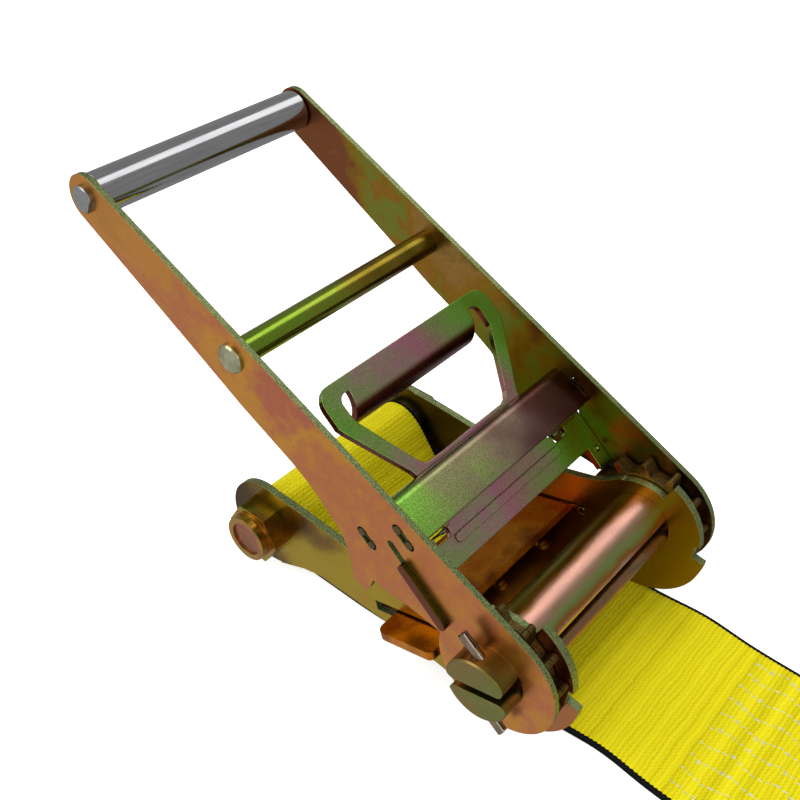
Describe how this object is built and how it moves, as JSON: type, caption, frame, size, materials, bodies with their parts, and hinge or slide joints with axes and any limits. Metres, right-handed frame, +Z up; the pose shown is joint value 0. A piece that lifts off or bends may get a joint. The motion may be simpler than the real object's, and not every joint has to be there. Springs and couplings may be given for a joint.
{
  "type": "ratchet tie down",
  "caption": "Heavy ratchet buckle with a long roller-grip handle, split spindle, toothed wheels, sprung pawl and lock plate, and a short wide strap ending in a flat hook.",
  "frame": {"origin": "on the ground under the strap, straight below the middle of the spindle's axis", "axes": "+X along the strap away from the handle, +Y along the spindle away from the anchor nut, +Z up"},
  "size_m": [0.5601, 0.166, 0.197],
  "materials": {
    "frame_zinc": "yellow zinc-plated stamped steel, iridescent",
    "handle_zinc": "yellow zinc-plated stamped steel, iridescent",
    "channel_zinc": "yellow zinc-plated bent sheet, green to gold",
    "pawl_zinc": "yellow zinc-plated sheet, green to pink",
    "lock_zinc": "yellow zinc-plated plate, orange-gold",
    "spindle_zinc": "yellow zinc-plated turned steel, olive to pink",
    "wheel_zinc": "yellow zinc-plated stamped steel, gold",
    "fastener_zinc": "yellow zinc-plated, olive-gold",
    "bolt_end": "yellow zinc-plated, pinkish",
    "sleeve_steel": "plain drawn tube",
    "spring_steel": "bright spring wire",
    "roller_chrome": "polished",
    "axle_steel": "bright, riveted over",
    "nut_ring": "nylon locking ring",
    "webbing": "woven polyester, ribbed, black edge stripes"
  },
  "bodies": {
    "frame": {"frame_side_near": "frame_zinc", "frame_side_far": "frame_zinc", "base_plate": "frame_zinc", "anchor_bolt": "bolt_end", "anchor_sleeve": "sleeve_steel", "anchor_nut": "fastener_zinc", "nut_insert": "nut_ring", "lock_springs": "spring_steel", "webbing": "webbing", "flat_hook": "frame_zinc"},
    "handle": {"handle_side_near": "handle_zinc", "handle_side_far": "handle_zinc", "handle_channel": "channel_zinc", "cross_bar": "fastener_zinc", "grip_axle": "axle_steel", "pawl_springs": "spring_steel"},
    "grip": {"grip_roller": "roller_chrome"},
    "handle_pawl": {"pawl_plate": "pawl_zinc"},
    "lock_plate": {"lock_plate": "lock_zinc"},
    "spindle": {"spindle_upper": "spindle_zinc", "spindle_lower": "spindle_zinc", "wheel_near_inner": "wheel_zinc", "wheel_near_outer": "wheel_zinc", "wheel_far_inner": "wheel_zinc", "wheel_far_outer": "wheel_zinc", "split_pins": "fastener_zinc"}
  },
  "joints": [
    {"name": "handle", "type": "hinge", "parent": "frame", "child": "handle", "pos_m": [0, 0, 0.048], "axis": [0, 1, 0], "range_deg": [-15.5, 150]},
    {"name": "handle_pawl", "type": "slide", "parent": "handle", "child": "handle_pawl", "axis": [-0.7683, 0, 0.6401], "range_m": [-0.0026, 0.0115], "stiffness_N_per_m": 3000, "springref_m": 0.0005, "deforming": ["pawl_springs"]},
    {"name": "lock_plate", "type": "slide", "parent": "frame", "child": "lock_plate", "axis": [-0.9563, 0, -0.2924], "range_m": [-0.0026, 0.008], "stiffness_N_per_m": 2000, "springref_m": -0.0002, "deforming": ["lock_springs"]},
    {"name": "spindle", "type": "hinge", "parent": "frame", "child": "spindle", "pos_m": [0, 0, 0.048], "axis": [0, 1, 0], "continuous": true},
    {"name": "grip_roller", "type": "hinge", "parent": "handle", "child": "grip", "pos_m": [-0.25147, 0, 0.18512], "axis": [0, 1, 0], "continuous": true}
  ]
}
